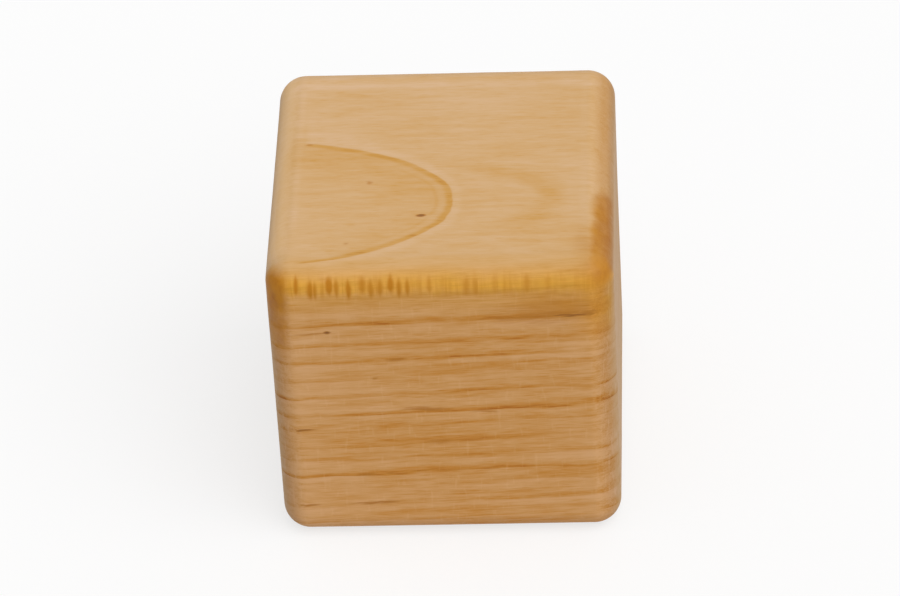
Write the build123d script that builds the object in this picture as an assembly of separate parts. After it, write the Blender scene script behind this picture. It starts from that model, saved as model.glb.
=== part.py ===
from build123d import *

import os

# A solid hardwood cube: one squared block, sawn from a single stick and rounded over on every edge.
# The origin is the middle of the face that it stands on. +X runs along the grain, to the right as seen
# from the front, +Y runs to the back and +Z is up.

# Driving dimensions, in millimetres
SIDE = 40.0
EDGE_RADIUS = 3.2


def wooden_cube():
    """The block with one radius on all twelve edges, so that each corner is an eighth of a ball."""
    block = Box(SIDE, SIDE, SIDE, align=(Align.CENTER, Align.CENTER, Align.MIN))
    cube = fillet(block.edges(), radius=EDGE_RADIUS)
    cube.label = "wooden_cube"
    return cube


os.makedirs("parts", exist_ok=True)
export_step(wooden_cube(), "parts/wooden_cube.step")
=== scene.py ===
import math
from collections import namedtuple

import bpy
from mathutils import Matrix, Vector


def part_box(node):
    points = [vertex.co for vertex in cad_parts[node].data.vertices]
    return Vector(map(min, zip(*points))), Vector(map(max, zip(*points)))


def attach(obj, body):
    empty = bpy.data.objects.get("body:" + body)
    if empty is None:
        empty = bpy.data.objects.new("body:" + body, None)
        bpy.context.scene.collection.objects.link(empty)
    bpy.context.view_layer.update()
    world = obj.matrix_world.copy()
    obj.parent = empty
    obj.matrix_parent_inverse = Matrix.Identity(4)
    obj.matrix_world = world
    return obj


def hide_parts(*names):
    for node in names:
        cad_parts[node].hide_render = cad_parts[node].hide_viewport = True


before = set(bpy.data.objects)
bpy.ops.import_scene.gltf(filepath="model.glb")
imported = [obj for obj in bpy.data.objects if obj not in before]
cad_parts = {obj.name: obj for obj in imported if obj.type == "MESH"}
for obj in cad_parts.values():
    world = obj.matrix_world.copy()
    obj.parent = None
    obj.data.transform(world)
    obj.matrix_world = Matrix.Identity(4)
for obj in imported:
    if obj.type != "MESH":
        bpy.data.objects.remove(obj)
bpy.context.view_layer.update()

# A sanded hardwood cube on a pale floor. Lengths are in metres, as in the frame, but in millimetres in the
# wood finish. +X runs along the grain, to the right as seen from the front, +Y to the back and +Z up.

# The cube
CUBE_LOW, CUBE_HIGH = (Vector(corner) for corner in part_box("wooden_cube"))
CUBE_MIDDLE = (CUBE_LOW + CUBE_HIGH) / 2
SIDE = CUBE_HIGH.x - CUBE_LOW.x
EDGE_RADIUS = 0.0032
FACE_CUTS = 9
EDGE_STEPS = 24
ROUND_PROFILE = 0.5
FINE_CUTS = 1
SHARP_ANGLE = 60.0

# Sanding by hand: the group of points that is rubbed, how far above the base it starts, and its waves
RUBBED = "rubbed"
BASE_CLEAR = 0.00005
BROAD_WAVE, BROAD_HEIGHT = 0.016, 0.00006
SMALL_WAVE, SMALL_HEIGHT = 0.006, 0.00002
WAVE_MIDDLE = 0.5

# The camera, the floor and the light
CAMERA_PLACE = (0.0323, -0.5081, 0.4304)
CAMERA_ROLL = -3.35
LENS_MM = 220.0
FLOOR_SIZE = 12.0
FLOOR_GLOW = 0.70
FLOOR_SEEN = (0.28, 0.28, 0.28, 1.0)
FLOOR_BOUNCE = (0.61, 0.58, 0.53, 1.0)
KEY_WAY = (0.43, -0.43, 0.80)
KEY_LEVEL = 0.535
KEY_SPREAD = 60.0
SKY_LOW = 0.25
SKY_HIGH = 0.94
SKY_SEEN = 1.0


def paint(red, green, blue):
    """A screen colour, 0 to 255 a channel, in the linear light that shaders work in."""
    shares = (channel / 255 for channel in (red, green, blue))
    return (*(s / 12.92 if s <= 0.04045 else ((s + 0.055) / 1.055) ** 2.4 for s in shares), 1.0)


class Shading:
    """The nodes of a material or of the world. Most methods add a node, take numbers or sockets, and give
    back the result's socket."""

    def __init__(self, owner):
        owner.use_nodes = True
        self.tree = owner.node_tree
        self.tree.nodes.clear()

    def add(self, kind, inputs=None, **settings):
        """Adds a node and gives back the node itself."""
        node = self.tree.nodes.new("ShaderNode" + kind)
        for name, value in settings.items():
            setattr(node, name, value)
        for socket, value in (inputs or {}).items():
            self.feed(node.inputs[socket], value)
        return node

    def feed(self, socket, value):
        """Links a socket to another one, or sets it to a number or a colour."""
        if isinstance(value, bpy.types.NodeSocket):
            self.tree.links.new(value, socket)
        else:
            socket.default_value = value

    def sum(self, operation, *values, clamp=False):
        node = self.add("Math", dict(enumerate(values)), operation=operation, use_clamp=clamp)
        return node.outputs[0]

    def chain(self, operation, values):
        """Works through the values from left to right."""
        total = values[0]
        for value in values[1:]:
            total = self.sum(operation, total, value)
        return total

    def plus(self, *values):
        return self.chain("ADD", values)

    def times(self, *values):
        return self.chain("MULTIPLY", values)

    def most(self, *values):
        return self.chain("MAXIMUM", values)

    def minus(self, first, second):
        return self.sum("SUBTRACT", first, second)

    def over(self, first, second):
        return self.sum("DIVIDE", first, second)

    def size(self, value):
        return self.sum("ABSOLUTE", value)

    def vector(self, operation, *values):
        node = self.add("VectorMath", dict(enumerate(values)), operation=operation)
        return node.outputs["Value" if operation == "LENGTH" else "Vector"]

    def away(self, place, point):
        return self.vector("LENGTH", self.vector("SUBTRACT", place, point))

    def split(self, place):
        return self.add("SeparateXYZ", {0: place}).outputs

    def join(self, x, y, z):
        return self.add("CombineXYZ", {0: x, 1: y, 2: z}).outputs[0]

    def ease(self, value, start, end, low=0.0, high=1.0):
        """Goes smoothly from low, where value is at start, to high, where it is at end."""
        inputs = {"Value": value, "From Min": start, "From Max": end, "To Min": low, "To Max": high}
        return self.add("MapRange", inputs, interpolation_type="SMOOTHSTEP").outputs["Result"]

    def band(self, value, rising, falling):
        """High between a rising and a falling fade of one value, and 0 outside them."""
        return self.times(self.ease(value, *rising), self.ease(value, *falling))

    def cloud(self, place, waves, detail=2.0, roughness=0.5):
        """Noise about 0, mostly between -0.5 and 0.5."""
        stretched = self.vector("MULTIPLY", place, waves)
        inputs = {"Vector": stretched, "Scale": 1.0, "Detail": detail, "Roughness": roughness}
        noise = self.add("TexNoise", inputs).outputs[0]
        return self.minus(noise, 0.5)

    def clouds(self, place, kinds):
        """Noise of several kinds, added up."""
        return self.plus(*(self.times(self.cloud(place, *kind[:-1]), kind.share) for kind in kinds))

    def ramp(self, value, stops):
        node = self.add("ValToRGB", {0: value})
        elements = node.color_ramp.elements
        while len(elements) < len(stops):
            elements.new(1.0)
        for element, (place, colour) in zip(elements, stops):
            element.position = place
            element.color = colour if isinstance(colour, tuple) else (colour, colour, colour, 1.0)
        return node.outputs["Color"]

    def blend(self, share, under, over, kind="MIX"):
        node = self.add("Mix", {0: share, 6: under, 7: over}, data_type="RGBA", blend_type=kind)
        return node.outputs[2]

    def show(self, shader, kind="Material"):
        """Ends the tree: this shader is what is seen."""
        self.add("Output" + kind, {"Surface": shader.outputs[0]})


# In the wood finish, from here to wood_finish, lengths are in millimetres and angles in degrees. A fade
# holds where it starts and ends and, if they aren't 0 and 1, what it goes from and to. Waves are so many to
# the millimetre along X, Y and Z. A kind of noise has its waves, its detail, its roughness and how much of
# it shows.
Noise = namedtuple("Noise", "waves detail roughness share")

MM_IN_METRE = 1000.0
SIDE_MM = SIDE * MM_IN_METRE
HALF_MM = SIDE_MM / 2
EDGE_MM = EDGE_RADIUS * MM_IN_METRE
FLAT_MM = HALF_MM - EDGE_MM
TOP_MM = SIDE_MM
FRONT_MM = -HALF_MM

# How much the fibres climb to the right, at the line on top and further down
GRAIN_RISE = 0.05
LOWER_RISE = 0.04

# How far a point has to face the front or the back to show the rings' edges, and an end to show end grain
QUARTER_CUT_FADE = (0.35, 0.9)
END_CUT_FADE = (0.1, 0.75)
FACING_UP_SHARE = 0.75


def places_in_wood(wood):
    """Each point's place in millimetres."""
    coordinates = wood.add("TexCoord").outputs["Object"]
    return wood.vector("MULTIPLY", coordinates, (MM_IN_METRE, MM_IN_METRE, MM_IN_METRE))


def along_the_grain(wood, place):
    """The place with the grain's slight rise taken out, so that fibres run along X in it."""
    x, y, z = wood.split(place)
    return wood.join(x, y, wood.minus(z, wood.times(x, LOWER_RISE)))


def cut_of_the_grain(wood):
    """How far each point shows the rings' edges, how far it shows end grain, and which way it faces."""
    facing = wood.split(wood.add("TexCoord").outputs["Normal"])
    quarter_cut = wood.ease(wood.size(facing["Y"]), *QUARTER_CUT_FADE)
    # The end tint is partly end grain's own darker tone and partly painted shade: end grain counts for less
    # where a surface faces up, so the lit upward curves stay paler than the side- and down-facing ones
    sanded = wood.times(wood.most(facing["Z"], 0.0), FACING_UP_SHARE)
    end_cut = wood.ease(wood.minus(wood.size(facing["X"]), sanded), *END_CUT_FADE)
    return quarter_cut, end_cut, facing


# The growth line on top: a bow whose tip points right along the grain, with its two arms running left
TIP_X_MM = 1.3
TIP_Y_MM = -6.8
TIP_FADE = (-0.5, 0.5)
NEAR_TIP_MM = 0.1
FRONT_POWER = 2.4
FRONT_SPREAD = 23.5
BACK_POWER = 1.9
BACK_SPREAD = 5.8
BACK_ARM_LONG_MM = 24.8
BACK_ARM_WIDE_MM = 11.9
BACK_ARM_END_SHARE = 0.975
BACK_ARM_SLOPE = 2.0
BACK_ARM_FADE = (TOP_MM - 3.0, TOP_MM - 0.3)

# How the rings shiver everywhere, and how they wander and waver below the top
SHIVER_WAVES, SHIVER_MM = (0.11, 0.4, 0.4), 0.05
WANDER_WAVES, WANDER_MM = (0.016, 0.06, 0.06), 0.6
WAVER_WAVES, WAVER_MM = (0.10, 0.07, 0.30), 1.2
BELOW_TOP_FADE = (0.3, 5.0)


def back_arm(wood, off):
    """The back arm of the line on top, a quarter oval: how far left of the tip it lies, and its slope."""
    reach = wood.most(wood.over(off, BACK_ARM_WIDE_MM), 0.0)
    reach = wood.sum("MINIMUM", reach, BACK_ARM_END_SHARE)
    rest = wood.sum("SQRT", wood.minus(1.0, wood.times(reach, reach)))
    past = wood.most(wood.minus(off, BACK_ARM_END_SHARE * BACK_ARM_WIDE_MM), 0.0)
    oval = wood.times(wood.minus(1.0, rest), BACK_ARM_LONG_MM)
    slope = wood.times(wood.over(reach, rest), BACK_ARM_LONG_MM / BACK_ARM_WIDE_MM)
    return wood.plus(oval, wood.times(past, BACK_ARM_SLOPE)), slope


def steepness(wood, slope):
    """How much longer a step along X is than the shortest way across a line of this slope."""
    return wood.vector("LENGTH", wood.join(1.0, slope, 0.0))


def ring_depth(wood, place):
    """How many millimetres a point lies outside the year's growth that ends at the line on top, and how
    many that is along the top, where the rings are cut at a slant."""
    x, y, z = wood.split(place)
    off = wood.minus(y, TIP_Y_MM)
    far = wood.size(off)
    back = wood.ease(off, *TIP_FADE)
    power = wood.ease(back, 0.0, 1.0, FRONT_POWER, BACK_POWER)
    spread = wood.ease(back, 0.0, 1.0, FRONT_SPREAD, BACK_SPREAD)
    bow = wood.over(wood.sum("POWER", far, power), spread)
    slope = wood.over(wood.times(bow, power), wood.most(far, NEAR_TIP_MM))
    arm, arm_slope = back_arm(wood, off)
    on_top = wood.times(back, wood.ease(z, *BACK_ARM_FADE))
    bow = wood.plus(bow, wood.times(wood.minus(arm, bow), on_top))
    slope = wood.plus(slope, wood.times(wood.minus(arm_slope, slope), on_top))
    rise = wood.times(wood.plus(wood.minus(x, TIP_X_MM), bow), GRAIN_RISE)
    depth = wood.plus(wood.minus(TOP_MM, z), rise)
    shiver = wood.times(wood.cloud(place, SHIVER_WAVES), SHIVER_MM)
    slant = wood.times(steepness(wood, slope), GRAIN_RISE)
    along_top = wood.over(wood.plus(depth, shiver), slant)
    # The rings waver below the top, where the line keeps its place
    easier = wood.times(x, LOWER_RISE - GRAIN_RISE)
    wander = wood.times(wood.cloud(place, WANDER_WAVES, detail=1.0), WANDER_MM)
    waver = wood.times(wood.cloud(place, WAVER_WAVES), WAVER_MM)
    shift = wood.times(wood.plus(easier, wander, waver), wood.ease(depth, *BELOW_TOP_FADE))
    return wood.plus(depth, shiver, shift), along_top


# The width of each year's growth from the line on top downwards, and of the years before and after those
RING_WIDTHS_MM = (2.6, 2.9, 3.1, 2.9, 2.3, 2.8, 2.4, 2.8, 1.9, 2.8, 2.0, 2.5, 1.8, 2.8)
RING_MM = 2.6
LAST_RINGS = 6
FIRST_YEAR = 50.0

# How dark the wood grows through a year, as shares of the year and of the darkest
GROWTH_SHARES = (
    (0.0, 0.35),
    (0.05, 0.10),
    (0.18, 0.0),
    (0.50, 0.10),
    (0.74, 0.36),
    (0.88, 0.92),
    (0.95, 1.0),
    (1.0, 0.60),
)
GROWTH_MEAN_SHARE = 0.32
YEAR_LUCK_FADE = (0.0, 1.0, 0.30, 1.15)
YEAR_LEFT_FADE = (-3.0, -13.0, 1.0, 1.4)
YEAR_WAVES, YEAR_PATCHINESS = (0.13, 0.15, 0.35), 3.0
YEAR_END_RISING, YEAR_END_FALLING = (0.92, 0.97), (1.0, 0.985)
YEAR_END_LUCK_FADE = (0.0, 1.0, 0.4, 1.2)


def count_rings(wood, depth):
    """How many years' growth a point lies outside the year before the line on top."""
    ends = [-RING_MM, 0.0]
    for width in (*RING_WIDTHS_MM, *(LAST_RINGS * [RING_MM])):
        ends.append(ends[-1] + width)
    span = ends[-1] - ends[0]
    last = len(ends) - 1
    stops = [((end - ends[0]) / span, year / last) for year, end in enumerate(ends)]
    return wood.times(wood.ramp(wood.over(wood.plus(depth, -ends[0]), span), stops), last)


def growth_rings(wood, place, depth):
    """The slow darkening through each year's growth, and the thin line that ends it."""
    rings = count_rings(wood, depth)
    phase = wood.sum("FRACT", rings)
    year = wood.plus(wood.sum("FLOOR", rings), FIRST_YEAR)
    luck = wood.add("TexWhiteNoise", {"W": year}, noise_dimensions="1D").outputs["Value"]
    patchy = wood.plus(1.0, wood.times(wood.cloud(place, YEAR_WAVES), YEAR_PATCHINESS))
    slow = wood.minus(wood.ramp(phase, GROWTH_SHARES), GROWTH_MEAN_SHARE)
    left = wood.ease(wood.split(place)["X"], *YEAR_LEFT_FADE)
    slow = wood.times(slow, wood.ease(luck, *YEAR_LUCK_FADE), patchy, left)
    line = wood.band(phase, YEAR_END_RISING, YEAR_END_FALLING)
    return slow, wood.times(line, wood.ease(luck, *YEAR_END_LUCK_FADE), patchy)


# A soft golden bow to the right of the line on top
SECOND_TIP_X_MM = 12.8
SECOND_TIP_Y_MM = -6.2
SECOND_BACK_SPREAD = 3.8
SECOND_FRONT_SPREAD = 6.4
SECOND_WAVES, SECOND_SWAY_MM = (0.2, 0.35, 0.35), 1.6
SECOND_ARMS_FADE = (9.0, 3.5)
SECOND_FADE = (2.3, 0.2)
SECOND_SHARE = 0.62

# The lines as they show on top, by how far along the top they lie: the line itself, a fainter twin inside
# it and a paler rim outside it
LINE_RISING, LINE_FALLING = (-1.1, -0.4), (0.12, -0.12)
LINE_BACK_FADE = (6.0, -4.0, 0.62, 1.0)
TWIN_RISING, TWIN_FALLING = (-2.2, -1.8), (-1.4, -1.8)
TWIN_LEFT_FADE = (-10.0, 0.0, 0.0, 0.35)
RIM_RISING, RIM_FALLING = (-0.05, 0.2), (1.4, 0.5)
RIM_BACK_FADE = (6.0, -8.0, 0.62, 0.40)
LINE_WAVES, LINE_PATCHINESS = (0.15, 0.3, 0.3), 1.6
LINE_FACE_FADE = (0.90, 0.985)
LINE_LEFT_FADE = (0.2 - FLAT_MM, 1.4 - FLAT_MM)


def second_bow(wood, place):
    """How far a point lies in the soft bow."""
    x, y, _ = wood.split(place)
    off = wood.minus(y, SECOND_TIP_Y_MM)
    spread = wood.ease(off, *TIP_FADE, SECOND_FRONT_SPREAD, SECOND_BACK_SPREAD)
    bow = wood.over(wood.times(off, off), spread)
    slope = wood.over(wood.times(off, 2.0), spread)
    sway = wood.times(wood.cloud(place, SECOND_WAVES), SECOND_SWAY_MM)
    ahead = wood.plus(wood.minus(x, SECOND_TIP_X_MM), bow, sway)
    away = wood.size(wood.over(ahead, steepness(wood, slope)))
    arms = wood.ease(wood.size(off), *SECOND_ARMS_FADE)
    return wood.times(wood.ease(away, *SECOND_FADE), arms)


def bow_lines(wood, place, facing, along_top):
    """The bowed line that a year's end draws on top, with its twin, its rim and the soft bow beside it."""
    x, y, _ = wood.split(place)
    patchy = wood.plus(1.0, wood.times(wood.cloud(place, LINE_WAVES), LINE_PATCHINESS))
    line = wood.band(along_top, LINE_RISING, LINE_FALLING)
    line = wood.times(line, wood.ease(y, *LINE_BACK_FADE))
    twin = wood.band(along_top, TWIN_RISING, TWIN_FALLING)
    twin = wood.times(twin, wood.ease(x, *TWIN_LEFT_FADE))
    rim = wood.band(along_top, RIM_RISING, RIM_FALLING)
    rim = wood.times(rim, wood.ease(y, *RIM_BACK_FADE))
    lines = wood.times(wood.minus(wood.plus(line, twin), rim), patchy)
    lines = wood.plus(lines, wood.times(second_bow(wood, place), SECOND_SHARE))
    inner = wood.times(wood.ease(facing["Z"], *LINE_FACE_FADE), wood.ease(x, *LINE_LEFT_FADE))
    return wood.times(lines, inner)


# Faint bands that follow the rings, some as broad as two years and some within one
LAYERS = (
    Noise((0.010, 0.015, 0.21), 1.0, 0.5, 0.45),
    Noise((0.03, 0.04, 0.8), 3.0, 0.6, 1.55),
)

# Streaks of lighter and darker fibre along the grain, coarse to fine
FIBRES = (
    Noise((0.03, 1.1, 1.1), 3.0, 0.5, 0.5),
    Noise((0.22, 1.3, 1.3), 4.0, 0.6, 0.8),
    Noise((0.16, 3.6, 3.6), 3.0, 0.65, 0.75),
    Noise((0.5, 11.0, 11.0), 1.0, 0.5, 0.6),
)

PORE_WAVES = (0.42, 6.0, 6.0)
PORE_FADE = (0.34, 0.10)
PORE_LUCK_FADE = (0.45, 0.75)
RAY_WAVES = (2.0, 5.0, 0.40)
RAY_FADE = (0.08, 0.26)


def layers(wood, place, depth):
    """The faint bands, laid along the rings."""
    x, y, _ = wood.split(place)
    return wood.clouds(wood.join(x, y, depth), LAYERS)


def pores(wood, grain):
    """Short hair-thin dashes where the wood's vessels are cut open."""
    stretched = wood.vector("MULTIPLY", grain, PORE_WAVES)
    cells = wood.add("TexVoronoi", {"Vector": stretched, "Scale": 1.0}).outputs
    luck = wood.split(cells["Color"])["X"]
    return wood.times(wood.ease(cells["Distance"], *PORE_FADE), wood.ease(luck, *PORE_LUCK_FADE))


def rays(wood, place):
    """Thin sheets that run out from the heart: silky bars on the front and back, hair lines on the ends."""
    return wood.ease(wood.cloud(place, RAY_WAVES, detail=1.0), *RAY_FADE)


# Brown flecks and streaks in the grain, each a long soft spot: its middle, its reach each way from there,
# how much it climbs to the right and how dark it is
Mark = namedtuple("Mark", "x y z long deep high climb dark")
FRONT_DEEP_MM = 0.8
STREAK_DEEP_MM = 1.0
TOP_HIGH_MM = 0.6


def front_mark(x, z, long, high, climb, dark, deep=FRONT_DEEP_MM):
    return Mark(x, FRONT_MM, z, long, deep, high, climb, dark)


def top_mark(x, y, long, deep, dark):
    return Mark(x, y, TOP_MM, long, deep, TOP_HIGH_MM, 0.0, dark)


FRONT_FLECKS = (
    front_mark(-13.1, 31.4, 0.65, 0.34, 0.05, 1.00),
    front_mark(-14.8, 31.2, 3.60, 0.20, 0.05, 0.50),
    front_mark(-5.4, 27.2, 1.80, 0.42, 0.05, 0.55),
    front_mark(-8.0, 24.4, 0.60, 0.28, 0.05, 0.50),
    front_mark(-2.3, 19.7, 3.80, 0.50, -0.03, 0.62),
    front_mark(4.6, 19.2, 2.80, 0.26, -0.05, 0.50),
    front_mark(-16.6, 16.7, 2.30, 0.25, 0.02, 0.78),
    front_mark(-0.8, 14.7, 2.60, 0.60, 0.03, 0.42),
    front_mark(-9.8, 9.8, 1.80, 0.38, 0.04, 0.60),
    front_mark(-6.9, 9.9, 0.90, 0.30, 0.04, 0.45),
    front_mark(-8.8, 5.4, 4.20, 0.34, 0.03, 0.68),
    front_mark(-16.6, 5.1, 2.00, 0.25, 0.02, 0.64),
)
GOLDEN_STREAK = (
    front_mark(12.6, 33.4, 7.80, 1.00, 0.05, 0.54, deep=1.2),
    front_mark(9.5, 33.0, 5.40, 0.70, 0.05, 0.46, deep=STREAK_DEEP_MM),
    front_mark(12.9, 34.0, 10.0, 3.20, 0.05, 0.36, deep=1.4),
    front_mark(15.1, 33.3, 3.00, 0.40, 0.02, 0.86, deep=STREAK_DEEP_MM),
    front_mark(17.0, 33.6, 2.00, 0.80, 0.05, 0.62, deep=STREAK_DEEP_MM),
)
TOP_FLECKS = (
    top_mark(-2.2, -9.5, 0.80, 0.46, 0.85),
    top_mark(-8.4, -3.2, 0.70, 0.55, 0.50),
    top_mark(-15.7, 4.3, 0.60, 0.36, 0.45),
    top_mark(-10.7, -14.5, 0.50, 0.32, 0.40),
)
FLECK_FADE = (1.05, 0.2)
FLECK_EDGES = (
    Noise((0.5, 5.5, 5.5), 2.0, 0.5, 0.9),
    Noise((0.3, 10.0, 10.0), 1.0, 0.5, 0.9),
)
FLECK_WAVES, FLECK_SWAY_MM = (0.35, 0.2, 0.2), 0.35

# The flecks of the back and the base, which lie by chance
CHANCE_WAVES = (0.11, 0.42, 0.42)
CHANCE_SIZE_FADE = (0.0, 1.0, 0.10, 0.30)
CHANCE_LUCK_FADE = (0.70, 0.95)
CHANCE_BACK_FADE = (0.3, 0.7)
CHANCE_BASE_FADE = (-0.3, -0.7)
CHANCE_SHARE = 0.7


def flecks(wood, place, grain, facing):
    """How brown the flecks and streaks make each point. Their edges are ragged along the fibres."""
    ragged = wood.clouds(grain, FLECK_EDGES)
    sway = wood.times(wood.cloud(place, FLECK_WAVES, detail=1.0), FLECK_SWAY_MM)
    place = wood.vector("ADD", place, wood.join(0.0, sway, sway))
    brown = 0.0
    for mark in (*FRONT_FLECKS, *GOLDEN_STREAK, *TOP_FLECKS):
        x, y, z = wood.split(wood.vector("SUBTRACT", place, (mark.x, mark.y, mark.z)))
        level = wood.minus(z, wood.times(x, mark.climb))
        reach = (1 / mark.long, 1 / mark.deep, 1 / mark.high)
        away = wood.vector("LENGTH", wood.vector("MULTIPLY", wood.join(x, y, level), reach))
        spot = wood.ease(wood.plus(away, ragged), *FLECK_FADE, 0.0, mark.dark)
        brown = wood.most(brown, spot)
    stretched = wood.vector("MULTIPLY", grain, CHANCE_WAVES)
    cells = wood.add("TexVoronoi", {"Vector": stretched, "Scale": 1.0}).outputs
    luck = wood.split(cells["Color"])
    near = wood.over(cells["Distance"], wood.ease(luck["Y"], *CHANCE_SIZE_FADE))
    spot = wood.ease(wood.plus(near, ragged), *FLECK_FADE)
    spot = wood.times(spot, wood.ease(luck["X"], *CHANCE_LUCK_FADE))
    behind = wood.most(wood.ease(facing["Y"], *CHANCE_BACK_FADE), wood.ease(facing["Z"], *CHANCE_BASE_FADE))
    return wood.most(brown, wood.times(spot, behind, CHANCE_SHARE))


def turn_over_edge(wood, outwards, upwards):
    """The angle round an edge's curve: 0 where it meets the first face and 90 where it meets the other."""
    return wood.sum("DEGREES", wood.sum("ARCTAN2", wood.minus(outwards, FLAT_MM), upwards))


def height_on_edge(wood, place):
    """How far a point lies above the line where the sides start to curve over to the top."""
    return wood.minus(wood.split(place)["Z"], TOP_MM - EDGE_MM)


def front_turn(wood, place):
    """The angle round the front edge of the top."""
    forward = wood.times(wood.split(place)["Y"], -1.0)
    return turn_over_edge(wood, forward, height_on_edge(wood, place))


def right_turn(wood, place):
    """The angle round the right edge of the top."""
    return turn_over_edge(wood, wood.split(place)["X"], height_on_edge(wood, place))


def upright_turn(wood, place):
    """The angle round the front's two upright edges, from the front to either end."""
    x, y, _ = wood.split(place)
    forward = wood.times(y, -1.0)
    return turn_over_edge(wood, wood.size(x), wood.minus(forward, FLAT_MM))


# The heat of the round cutter: how patchy it is, and how ragged its run is along the front edge
HEAT_WAVES = (0.22, 0.5, 0.5)
RAGGED_WAVES, RAGGED_ANGLE = (1.4, 0.2, 0.2), 18.0

# The amber front edge, by the angle round it
AMBER_UPPER_FADE = (-24.0, 70.0)
AMBER_LOWER_FADE = (112.0, 72.0)
AMBER_WASH_FADE = (150.0, 96.0, 0.0, 0.35)
AMBER_SHARE, AMBER_PATCHINESS = 0.92, 0.9
AMBER_ENDS_FADE = (HALF_MM, FLAT_MM, 0.5, 1.0)

# The ticks across the amber edge, and the finer chatter between them
TICKS_IN_MM = 0.84
TICK_CHANCE = 0.75
TICK_WIDE_FADE = (0.0, 1.0, 0.34, 0.55)
TICK_MIDDLE_FADE = (0.0, 1.0, 67.0, 79.0)
TICK_TAPER_ANGLE = 8.0
TICK_SIDE_FADE = (1.2, 0.0)
TICK_END_FADE = (30.0, 8.0)
TICK_LEFT_FADE = (-1.0, -6.0, 0.15, 0.9)
TICK_LUCK_FADE = (0.3, 1.0, 0.0, 0.5)
TICKS_RISING, TICKS_FALLING = (-18.6, -17.0), (19.0, 17.0)
CHATTER_WAVES = (2.4, 0.12, 0.12)
CHATTER_FADE = (-0.05, 0.25)
CHATTER_UPPER_FADE = (30.0, 76.0)
CHATTER_LOWER_FADE = (106.0, 76.0)
CHATTER_LEFT_FADE = (0.0, -8.0, 0.4, 0.6)


def burnished_edge(wood, place, front, turn, patchy):
    """How far the round cutter has burnished the front edge of the top amber."""
    edge = wood.ease(turn, *AMBER_LOWER_FADE)
    wash = wood.ease(front, *AMBER_WASH_FADE)
    band = wood.times(wood.ease(front, *AMBER_UPPER_FADE), wood.most(edge, wash))
    uneven = wood.plus(AMBER_SHARE, wood.times(patchy, AMBER_PATCHINESS))
    ends = wood.ease(wood.size(wood.split(place)["X"]), *AMBER_ENDS_FADE)
    return wood.times(band, uneven, ends)


def cutter_ticks(wood, place, front, turn, patchy):
    """Darker ticks across the amber edge, most of them along its left part, where the cutter chattered."""
    x = wood.split(place)["X"]
    inputs = {"W": wood.times(x, TICKS_IN_MM), "Scale": 1.0, "Randomness": TICK_CHANCE}
    comb = wood.add("TexVoronoi", inputs, voronoi_dimensions="1D").outputs
    luck = wood.split(comb["Color"])
    wide = wood.over(comb["Distance"], wood.ease(luck["X"], *TICK_WIDE_FADE))
    middle = wood.ease(luck["Y"], *TICK_MIDDLE_FADE)
    tall = wood.plus(wood.size(wood.minus(turn, middle)), wood.times(wide, TICK_TAPER_ANGLE))
    soft = wood.plus(wide, patchy)
    tick = wood.times(wood.ease(soft, *TICK_SIDE_FADE), wood.ease(tall, *TICK_END_FADE))
    dark = wood.plus(wood.ease(x, *TICK_LEFT_FADE), wood.ease(luck["Z"], *TICK_LUCK_FADE))
    chatter = wood.ease(wood.cloud(place, CHATTER_WAVES), *CHATTER_FADE)
    chatter = wood.times(chatter, wood.ease(front, *CHATTER_UPPER_FADE))
    chatter = wood.times(chatter, wood.ease(turn, *CHATTER_LOWER_FADE))
    chatter = wood.times(chatter, wood.ease(x, *CHATTER_LEFT_FADE))
    ticks = wood.most(wood.times(tick, dark), chatter)
    return wood.times(ticks, wood.band(x, TICKS_RISING, TICKS_FALLING))


# The right edge of the top, where the cutter came to rest: darkened all along by painted shade, and singed
# towards the front
ON_RIGHT_FADE = (100.0, 50.0)
ON_RIGHT_HEIGHT_FADE = (-0.2, 1.2)
RIGHT_EDGE_SHADE_FADE = (0.4, 2.2)
SINGE_START_FADE = (-3.4, -7.0, 2.7, 0.3)
SINGE_FRONT_FADE = (-9.0, -16.0, 0.0, -0.5)
SINGE_RAGGED_MM = 1.2
SINGE_FADE = (-0.2, 1.5)
SINGE_BACK_FADE = (-3.6, -6.4)
SINGE_WASH_FADE = (-2.6, 1.2, 0.0, 0.55)
SINGE_WASH_BACK_FADE = (-8.5, -17.0)
BURN_PATCHINESS = 0.8

# The brown left corner and the tip of the right corner
LEFT_RISING, LEFT_FALLING = (2.0, 30.0), (100.0, 54.0)
LEFT_SIDE_FADE = (0.0, -1.0)
LEFT_UPPER_FADE = (3.1, 1.2, 0.0, 1.2)
LEFT_STRONG_FADE = (31.0, 36.0)
LEFT_FAINT_FADE = (25.0, 32.0, 0.0, 0.62)
RIGHT_TIP_INSET_MM = 1.0
RIGHT_TIP = (HALF_MM - RIGHT_TIP_INSET_MM, RIGHT_TIP_INSET_MM - HALF_MM, TOP_MM - RIGHT_TIP_INSET_MM)
RIGHT_TIP_FADE = (2.8, 0.8, 0.0, 0.8)

# The golden right corner of the front, partly painted warm reflected light, and the wedge that runs from it
# along the golden streak
GOLDEN_RIGHT_FADE = (13.6, 18.4)
GOLDEN_LOWER_FADE = (26.0, 34.0)
GOLDEN_UPPER_FADE = (2.6, 0.6)
WEDGE_RIGHT_FADE = (5.0, 13.5)
WEDGE_RISING, WEDGE_FALLING = (32.3, 33.3), (37.4, 34.6, 0.0, 0.62)
GOLDEN_FRONT_FADE = (FLAT_MM - 1.0, FLAT_MM + 1.0)
GOLDEN_END_FADE = (98.0, 48.0)
GOLDEN_SHARE, GOLDEN_PATCHINESS = 0.9, 1.4


def on_right_edge(wood, place):
    """1 on the top and on its right edge, fading out before the end grain."""
    edge = wood.ease(right_turn(wood, place), *ON_RIGHT_FADE)
    return wood.times(edge, wood.ease(height_on_edge(wood, place), *ON_RIGHT_HEIGHT_FADE))


def painted_right_edge_shade(wood, place):
    """How much painted shade lies along the right edge of the top."""
    past = wood.minus(wood.split(place)["X"], FLAT_MM)
    return wood.times(wood.ease(past, *RIGHT_EDGE_SHADE_FADE), on_right_edge(wood, place))


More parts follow.
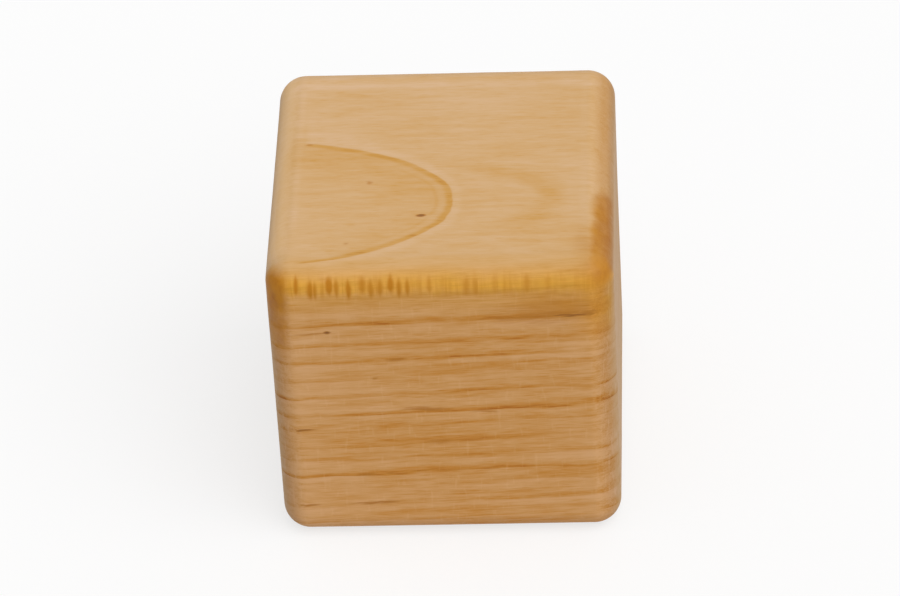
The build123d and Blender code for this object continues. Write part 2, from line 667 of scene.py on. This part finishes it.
def singed_edge(wood, place, patchy):
    """How far the cutter singed the right edge of the top. The singe widens towards the front."""
    x, y, _ = wood.split(place)
    past = wood.minus(x, FLAT_MM)
    start = wood.plus(wood.ease(y, *SINGE_START_FADE), wood.ease(y, *SINGE_FRONT_FADE))
    ragged = wood.plus(past, wood.times(patchy, SINGE_RAGGED_MM))
    strong = wood.times(wood.ease(wood.minus(ragged, start), *SINGE_FADE), wood.ease(y, *SINGE_BACK_FADE))
    wash = wood.times(wood.ease(past, *SINGE_WASH_FADE), wood.ease(y, *SINGE_WASH_BACK_FADE))
    uneven = wood.plus(1.0, wood.times(patchy, BURN_PATCHINESS))
    return wood.times(wood.most(strong, wash), on_right_edge(wood, place), uneven)


def browned_corners(wood, place, patchy):
    """How brown the cutter left the upper left corner of the front and the tip of the upper right one."""
    x, _, z = wood.split(place)
    left = wood.band(upright_turn(wood, place), LEFT_RISING, LEFT_FALLING)
    left = wood.times(left, wood.ease(x, *LEFT_SIDE_FADE))
    left = wood.times(left, wood.ease(height_on_edge(wood, place), *LEFT_UPPER_FADE))
    left = wood.times(left, wood.most(wood.ease(z, *LEFT_STRONG_FADE), wood.ease(z, *LEFT_FAINT_FADE)))
    tip = wood.ease(wood.away(place, RIGHT_TIP), *RIGHT_TIP_FADE)
    return wood.times(wood.most(left, tip), wood.plus(1.0, wood.times(patchy, BURN_PATCHINESS)))


def golden_corner(wood, place, patchy):
    """How golden the upper right of the front is."""
    x, y, z = wood.split(place)
    wedge = wood.times(wood.ease(x, *WEDGE_RIGHT_FADE), wood.band(z, WEDGE_RISING, WEDGE_FALLING))
    golden = wood.times(wood.ease(x, *GOLDEN_RIGHT_FADE), wood.ease(z, *GOLDEN_LOWER_FADE))
    golden = wood.times(golden, wood.ease(height_on_edge(wood, place), *GOLDEN_UPPER_FADE))
    front = wood.ease(wood.times(y, -1.0), *GOLDEN_FRONT_FADE)
    end = wood.ease(upright_turn(wood, place), *GOLDEN_END_FADE)
    uneven = wood.plus(GOLDEN_SHARE, wood.times(patchy, GOLDEN_PATCHINESS))
    return wood.times(wood.most(golden, wedge), front, end, uneven)


# The slow drift of colour on top: browner behind the bowed line, paler inside it and beside it, golden in
# the right front corner
PATCH_WAVES = (0.035, 0.11, 0.11)
BEHIND_Y_MM = 5.0
BEHIND_FADE = (7.0, 1.0, 0.0, 0.28)
INSIDE_FADE = (-2.0, -9.0, 0.0, 0.2)
INSIDE_LEFT_FADE = (6.0, -6.0)
PALE_SPOT = (4.0, -12.5, TOP_MM)
PALE_SPOT_FADE = (7.5, 2.0, 0.0, 0.30)
GOLDEN_SPOT = (15.0, -15.0, TOP_MM)
GOLDEN_SPOT_FADE = (7.0, 2.0, 0.0, 0.34)
DRIFT_TOP_FADE = (0.6, 0.95)

# The drift on the front: paler to the left, and paler to the right below the golden corner
DRIFT_LEFT_FADE = (-16.0, 0.0, -0.12, 0.08)
DRIFT_RIGHT_FADE = (4.0, 15.0, 0.0, -0.12)
DRIFT_LOWER_FADE = (31.0, 27.0)
DRIFT_FRONT_FADE = (-0.6, -0.95)

# Painted highlights along the top's back, left and right borders, painted light over its left edge, and
# paler wood along both sides of the front
BACK_RIM_MM = FLAT_MM - 1.3
LEFT_RIM_MM = -FLAT_MM - 0.1
RIGHT_RIM_MM = FLAT_MM - 0.3
BACK_RIM_FADE = (0.9, 0.1)
LEFT_RIM_FADE = (0.7, 0.1, 0.0, 0.5)
RIGHT_RIM_FADE = (0.7, 0.1, 0.0, 0.25)
RIM_HIGHLIGHT_TOP_FADE = (0.8, 0.95)
RIM_HIGHLIGHT_FRONT_FADE = (-14.0, -9.0)
RIM_HIGHLIGHT_SHARE = 0.6
SIDES_FADE = (13.5, 18.0)
SIDES_FACE_FADE = (-0.4, -0.9)
PALE_SIDES_SHARE = 0.5
HIGHLIGHT_AND_PALE_WAVES = (0.25, 0.25, 0.25)
HIGHLIGHT_AND_PALE_EVEN_SHARE = 0.8
LEFT_EDGE_LIGHT_SIDE_FADE = (-0.1, -0.6)
LEFT_EDGE_LIGHT_UP_FADE = (0.1, 0.6)
LEFT_EDGE_LIGHT_FRONT_FADE = (-18.0, -14.0)


def slow_drift(wood, place, facing):
    """The slow drift of colour over the top and the front: above 0 is browner and below 0 is paler."""
    x, y, z = wood.split(place)
    behind = wood.ease(wood.size(wood.minus(y, BEHIND_Y_MM)), *BEHIND_FADE)
    inside = wood.times(wood.ease(y, *INSIDE_FADE), wood.ease(x, *INSIDE_LEFT_FADE))
    pale = wood.plus(inside, wood.ease(wood.away(place, PALE_SPOT), *PALE_SPOT_FADE))
    golden = wood.plus(behind, wood.ease(wood.away(place, GOLDEN_SPOT), *GOLDEN_SPOT_FADE))
    on_top = wood.times(wood.minus(golden, pale), wood.ease(facing["Z"], *DRIFT_TOP_FADE))
    right = wood.times(wood.ease(x, *DRIFT_RIGHT_FADE), wood.ease(z, *DRIFT_LOWER_FADE))
    across = wood.plus(wood.ease(x, *DRIFT_LEFT_FADE), right)
    on_front = wood.times(across, wood.ease(facing["Y"], *DRIFT_FRONT_FADE))
    return wood.plus(on_top, on_front)


def rim_highlights_and_pale_sides(wood, place, facing):
    """How strong the painted highlights along the top's borders are, and how much paler the sides of the
    front are.
    """
    x, y, _ = wood.split(place)
    back = wood.ease(wood.size(wood.minus(y, BACK_RIM_MM)), *BACK_RIM_FADE)
    left = wood.ease(wood.size(wood.minus(x, LEFT_RIM_MM)), *LEFT_RIM_FADE)
    right = wood.ease(wood.size(wood.minus(x, RIGHT_RIM_MM)), *RIGHT_RIM_FADE)
    rim = wood.times(wood.most(back, left, right), wood.ease(facing["Z"], *RIM_HIGHLIGHT_TOP_FADE))
    rim = wood.times(rim, wood.ease(y, *RIM_HIGHLIGHT_FRONT_FADE))
    sides = wood.times(wood.ease(wood.size(x), *SIDES_FADE), wood.ease(facing["Y"], *SIDES_FACE_FADE))
    highlit_and_pale = wood.plus(wood.times(rim, RIM_HIGHLIGHT_SHARE), wood.times(sides, PALE_SIDES_SHARE))
    return wood.times(highlit_and_pale, wood.plus(HIGHLIGHT_AND_PALE_EVEN_SHARE, wood.cloud(place, HIGHLIGHT_AND_PALE_WAVES)))


def painted_left_edge_light(wood, place, facing):
    """How much painted light lies on the left edge of the top, where it curves up and to the left."""
    left = wood.ease(facing["X"], *LEFT_EDGE_LIGHT_SIDE_FADE)
    up = wood.ease(facing["Z"], *LEFT_EDGE_LIGHT_UP_FADE)
    return wood.times(left, up, wood.ease(wood.split(place)["Y"], *LEFT_EDGE_LIGHT_FRONT_FADE))


# How strongly each pattern shows on flat-cut, quarter-cut and end grain
RING_SHARES = (0.09, 0.26, 0.12)
YEAR_END_SHARES = (0.0, 0.06, 0.16)
FIBRE_SHARES = (0.65, 1.05, 0.0)
PORE_SHARES = (0.17, 0.0, 0.20)
RAY_SHARES = (0.0, 0.12, 0.24)

# The tone of the wood: 0 is palest and 1 is darkest
PLAIN_TONE = 0.42
BOW_SHARE = 0.24
LAYER_SHARE = 0.42
STREAK_SHARE = 0.62
PATCH_SHARE = 0.3
HIGHLIGHT_AND_PALE_SHARE = 0.26
WOOD_COLOURS = (
    (0.0, paint(222, 188, 156)),
    (PLAIN_TONE, paint(211, 170, 119)),
    (0.75, paint(202, 149, 70)),
    (1.0, paint(178, 114, 32)),
)

# What tints the wood, as shares of the light that it leaves, and the colours of burnt edges and flecks
# Partly the quarter cut's own deeper colour, partly painted shade: the deeper, warmer colour the front and
# back show in their light
QUARTER_CUT_AND_SHADE_TINT = (1.0, 0.825, 0.565, 1.0)
# Partly end grain's darker tone, partly painted shade on the ends' side- and down-facing curves
END_GRAIN_AND_SHADE_TINT = (0.80, 0.77, 0.74, 1.0)
# Painted shade along the top's right edge
RIGHT_EDGE_SHADE_TINT = (0.82, 0.70, 0.50, 1.0)
# Partly painted warm reflected light in the front's right corner
GOLDEN_TINT = (0.98, 0.80, 0.20, 1.0)
LIGHT_SINGE_TINT = (0.85, 0.63, 0.16, 1.0)
DARK_SINGE_TINT = (0.75, 0.51, 0.09, 1.0)
# Painted light: the pale colour laid on the top's left edge, lit from above left
LEFT_EDGE_LIGHT_PALE = paint(244, 204, 152)
UPPER_AMBER = paint(204, 152, 75)
LOWER_AMBER = paint(226, 165, 58)
TICK_BROWN = paint(190, 121, 6)
LIGHT_BROWN = paint(193, 127, 16)
DARK_BROWN = paint(172, 105, 12)
FLECK_GOLD = paint(178, 113, 28)
FLECK_BROWN = paint(118, 69, 26)
LEFT_EDGE_LIGHT_SHARE = 0.5
RIGHT_EDGE_SHADE_SHARE = 0.8
BURN_SHARE = 0.95
BURN_WAVES = (0.9, 0.5, 0.5)
BURN_FADE = (-0.2, 0.25)
AMBER_TURN_FADE = (20.0, 72.0)
AMBER_GRAIN_SHARES = ((0.2, 1.0), (0.9, 0.80))
FLECK_DARK_FADE = (0.55, 1.0)
FLECK_SHOWS_FADE = (0.0, 0.8, 0.0, 0.9)

# The sanded surface: how deep streaks and pores lie, how high the relief is in metres, and how it shines
STREAK_RELIEF = -0.4
PORE_RELIEF = -0.6
RELIEF_HEIGHT = 0.00002
RELIEF_SHARE = 0.5
ROUGHNESS = 0.58
STREAK_ROUGHNESS = 0.16
AMBER_ROUGHNESS = -0.06
RAY_ROUGHNESS = -0.08
WOOD_IOR = 1.48
WOOD_SPECULAR = 0.35


def wood_finish():
    """The sanded hardwood: its patterns, then its tone, its colour and its surface."""
    material = bpy.data.materials.new("sanded_hardwood")
    wood = Shading(material)
    place = places_in_wood(wood)
    grain = along_the_grain(wood, place)
    quarter_cut, end_cut, facing = cut_of_the_grain(wood)

    def by_cut(pattern, shares):
        """The pattern, as strong as the cut of the grain shows it."""
        flat, quarter, end = shares
        strength = wood.plus(flat, wood.times(quarter_cut, quarter), wood.times(end_cut, end))
        return wood.times(pattern, strength)

    depth, along_top = ring_depth(wood, place)
    slow, line = growth_rings(wood, place, depth)
    bow = bow_lines(wood, place, facing, along_top)
    bands = layers(wood, place, depth)
    streaks = wood.clouds(grain, FIBRES)
    vessels = pores(wood, grain)
    silk = rays(wood, place)
    patches = wood.plus(wood.cloud(grain, PATCH_WAVES), slow_drift(wood, place, facing))
    brown = flecks(wood, place, grain, facing)
    patchy = wood.cloud(place, HEAT_WAVES, detail=3.0)
    front = front_turn(wood, place)
    turn = wood.plus(front, wood.times(wood.cloud(place, RAGGED_WAVES, detail=3.0), RAGGED_ANGLE))
    band = burnished_edge(wood, place, front, turn, patchy)
    ticks = cutter_ticks(wood, place, front, turn, patchy)

    fine = wood.plus(
        wood.times(bands, LAYER_SHARE),
        wood.times(streaks, STREAK_SHARE),
        wood.times(patches, PATCH_SHARE),
    )
    tone = wood.plus(
        PLAIN_TONE,
        by_cut(slow, RING_SHARES),
        by_cut(line, YEAR_END_SHARES),
        wood.times(bow, BOW_SHARE),
        by_cut(fine, FIBRE_SHARES),
        by_cut(vessels, PORE_SHARES),
    )
    # Painted highlights along the top's borders, and paler sides of the front
    highlit_and_pale = wood.times(rim_highlights_and_pale_sides(wood, place, facing), HIGHLIGHT_AND_PALE_SHARE)
    tone = wood.sum("SUBTRACT", tone, wood.plus(by_cut(silk, RAY_SHARES), highlit_and_pale), clamp=True)

    colour = wood.ramp(tone, WOOD_COLOURS)
    # Partly painted shade: the front and back get a deeper, warmer tint
    colour = wood.blend(quarter_cut, colour, QUARTER_CUT_AND_SHADE_TINT, "MULTIPLY")
    # Partly painted shade: the ends' side- and down-facing curves get a darker tint
    colour = wood.blend(end_cut, colour, END_GRAIN_AND_SHADE_TINT, "MULTIPLY")
    # Painted light on the top's left edge
    rubbed = wood.times(painted_left_edge_light(wood, place, facing), LEFT_EDGE_LIGHT_SHARE)
    colour = wood.blend(rubbed, colour, LEFT_EDGE_LIGHT_PALE)
    # Painted shade along the top's right edge
    right_edge_shade = wood.times(painted_right_edge_shade(wood, place), RIGHT_EDGE_SHADE_SHARE)
    colour = wood.blend(right_edge_shade, colour, RIGHT_EDGE_SHADE_TINT, "MULTIPLY")
    # Partly painted warm reflected light in the front's right corner
    colour = wood.blend(golden_corner(wood, place, patchy), colour, GOLDEN_TINT, "MULTIPLY")
    streaky = wood.ease(wood.cloud(place, BURN_WAVES, detail=3.0), *BURN_FADE)
    singe = wood.blend(streaky, LIGHT_SINGE_TINT, DARK_SINGE_TINT)
    singed = wood.times(singed_edge(wood, place, patchy), BURN_SHARE)
    colour = wood.blend(singed, colour, singe, "MULTIPLY")
    amber = wood.blend(wood.ease(front, *AMBER_TURN_FADE), UPPER_AMBER, LOWER_AMBER)
    amber = wood.blend(1.0, amber, wood.ramp(tone, AMBER_GRAIN_SHARES), "MULTIPLY")
    colour = wood.blend(wood.times(band, BURN_SHARE), colour, amber)
    colour = wood.blend(wood.times(ticks, BURN_SHARE), colour, TICK_BROWN)
    burnt = wood.times(browned_corners(wood, place, patchy), BURN_SHARE)
    colour = wood.blend(burnt, colour, wood.blend(streaky, LIGHT_BROWN, DARK_BROWN))
    fleck = wood.blend(wood.ease(brown, *FLECK_DARK_FADE), FLECK_GOLD, FLECK_BROWN)
    colour = wood.blend(wood.ease(brown, *FLECK_SHOWS_FADE), colour, fleck)

    relief = wood.plus(wood.times(streaks, STREAK_RELIEF), wood.times(vessels, PORE_RELIEF))
    bump = wood.add("Bump", {"Height": relief, "Distance": RELIEF_HEIGHT, "Strength": RELIEF_SHARE})
    rough = wood.plus(
        ROUGHNESS,
        wood.times(streaks, STREAK_ROUGHNESS),
        wood.times(band, AMBER_ROUGHNESS),
        wood.times(silk, RAY_ROUGHNESS),
    )
    inputs = {"Base Color": colour, "Roughness": rough, "Normal": bump.outputs[0]}
    inputs["IOR"] = WOOD_IOR
    inputs["Specular IOR Level"] = WOOD_SPECULAR
    wood.show(wood.add("BsdfPrincipled", inputs))
    return material


def deselect_all():
    bpy.ops.object.select_all(action="DESELECT")


def shape_cube():
    """A squared block, cut into a grid, with a round cutter run over all its edges."""
    deselect_all()
    bpy.ops.mesh.primitive_cube_add(size=SIDE, location=CUBE_MIDDLE)
    cube = bpy.context.object
    cube.name = cube.data.name = "sanded_cube"
    bpy.ops.object.transform_apply(location=True, rotation=True, scale=True)
    bpy.ops.object.mode_set(mode="EDIT")
    bpy.ops.mesh.select_all(action="SELECT")
    bpy.ops.mesh.subdivide(number_cuts=FACE_CUTS)
    bpy.ops.mesh.select_mode(type="EDGE")
    bpy.ops.mesh.select_all(action="DESELECT")
    bpy.ops.mesh.edges_select_sharp(sharpness=math.radians(SHARP_ANGLE))
    bpy.ops.mesh.bevel(offset=EDGE_RADIUS, segments=EDGE_STEPS, profile=ROUND_PROFILE, affect="EDGES")
    bpy.ops.mesh.select_all(action="SELECT")
    bpy.ops.mesh.subdivide(number_cuts=FINE_CUTS)
    bpy.ops.mesh.normals_make_consistent(inside=False)
    bpy.ops.object.mode_set(mode="OBJECT")
    bpy.ops.object.shade_smooth()
    return cube


def sand_by_hand(cube):
    """Leaves waves a few hundredths of a millimetre high all over, except on the face it stands on."""
    above_base = [corner.index for corner in cube.data.vertices if corner.co.z > BASE_CLEAR]
    cube.vertex_groups.new(name=RUBBED).add(above_base, 1.0, "REPLACE")
    for name, wave, high in (("broad", BROAD_WAVE, BROAD_HEIGHT), ("small", SMALL_WAVE, SMALL_HEIGHT)):
        waves = bpy.data.textures.new(name + "_sanding_waves", "CLOUDS")
        waves.noise_scale = wave
        bpy.ops.object.modifier_add(type="DISPLACE")
        sanding = cube.modifiers[-1]
        sanding.texture = waves
        sanding.texture_coords = "LOCAL"
        sanding.vertex_group = RUBBED
        sanding.mid_level = WAVE_MIDDLE
        sanding.strength = high
        bpy.ops.object.modifier_apply(modifier=sanding.name)


def where_seen(shading):
    """1 for what the camera sees, also in a reflection or through glass, and 0 where light only bounces."""
    path = shading.add("LightPath").outputs
    return shading.most(path["Is Camera Ray"], path["Is Glossy Ray"], path["Is Transmission Ray"])


def lay_floor():
    """A floor that looks white but for the cube's shadow, and that bounces a plainer light."""
    deselect_all()
    bpy.ops.mesh.primitive_plane_add(size=FLOOR_SIZE)
    floor = bpy.context.object
    floor.name = floor.data.name = "pale_floor"
    material = bpy.data.materials.new("pale_floor")
    pale = Shading(material)
    glow = pale.add("Emission", {"Strength": FLOOR_GLOW}).outputs[0]
    lit = pale.add("BsdfDiffuse", {"Color": FLOOR_SEEN}).outputs[0]
    white = pale.add("AddShader", {0: glow, 1: lit}).outputs[0]
    bounce = pale.add("BsdfDiffuse", {"Color": FLOOR_BOUNCE}).outputs[0]
    pale.show(pale.add("MixShader", {0: where_seen(pale), 1: bounce, 2: white}))
    floor.data.materials.append(material)


def light_the_studio():
    """One broad soft lamp from the front right, and a dim sky that looks white."""
    lamp = bpy.data.lights.new("soft_key", "SUN")
    lamp.energy = KEY_LEVEL * math.pi
    lamp.angle = math.radians(KEY_SPREAD)
    key = bpy.data.objects.new("soft_key", lamp)
    key.rotation_euler = Vector(KEY_WAY).to_track_quat("Z", "Y").to_euler()
    bpy.context.scene.collection.objects.link(key)

    world = bpy.data.worlds.new("white_studio")
    bpy.context.scene.world = world
    sky = Shading(world)
    height = sky.split(sky.add("TexCoord").outputs["Generated"])["Z"]
    soft = sky.add("MapRange", {"Value": height, "To Min": SKY_LOW, "To Max": SKY_HIGH})
    inputs = {"Value": where_seen(sky), "To Min": soft.outputs["Result"], "To Max": SKY_SEEN}
    level = sky.add("MapRange", inputs)
    sky.show(sky.add("Background", {"Strength": level.outputs["Result"]}), "World")


def aim_camera():
    """A long lens from the front and above, aimed at the middle of the cube."""
    lens = bpy.data.cameras.new("camera")
    lens.lens = LENS_MM
    camera = bpy.data.objects.new("camera", lens)
    sight = CUBE_MIDDLE - Vector(CAMERA_PLACE)
    turn = sight.to_track_quat("-Z", "Y").to_matrix().to_4x4()
    roll = Matrix.Rotation(math.radians(CAMERA_ROLL), 4, "Z")
    camera.matrix_world = Matrix.Translation(CAMERA_PLACE) @ turn @ roll
    bpy.context.scene.collection.objects.link(camera)
    bpy.context.scene.camera = camera


cube = shape_cube()
sand_by_hand(cube)
cube.data.materials.append(wood_finish())
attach(cube, "root")
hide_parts("wooden_cube")
lay_floor()
light_the_studio()
aim_camera()
bpy.context.scene.view_settings.view_transform = "Standard"
